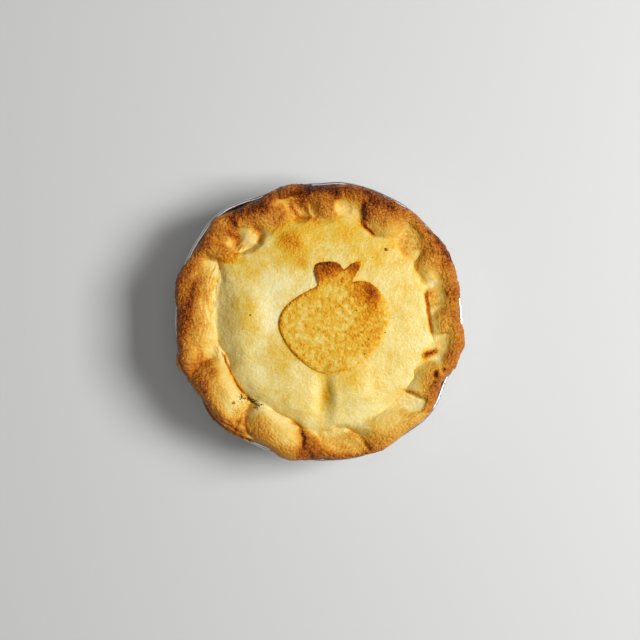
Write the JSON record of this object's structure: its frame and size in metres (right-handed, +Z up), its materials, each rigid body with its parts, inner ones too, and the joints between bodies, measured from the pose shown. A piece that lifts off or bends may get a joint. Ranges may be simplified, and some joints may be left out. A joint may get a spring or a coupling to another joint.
{
  "type": "apple pie",
  "caption": "Whole individual pie with a thumb-crimped pastry rim, a low domed lid and an apple-shaped pastry cut-out, baked in its own pleated foil tin.",
  "frame": {"origin": "middle of the tin's flat base, on the surface it stands on", "axes": "+Z up through the pie, +Y towards the cut-out's stem, +X to its right seen from above"},
  "size_m": [0.1254, 0.121, 0.0411],
  "materials": {
    "foil": "bright crinkled foil",
    "case_pastry": "baked shortcrust, browned, with a faint egg-wash gloss",
    "lid_pastry": "baked shortcrust, pale gold",
    "cutout_pastry": "baked shortcrust, golden, finely mottled"
  },
  "bodies": {
    "root": {"foil_tin": "foil", "pastry_case": "case_pastry", "pastry_lid": "lid_pastry", "apple_cutout": "cutout_pastry"}
  },
  "joints": []
}
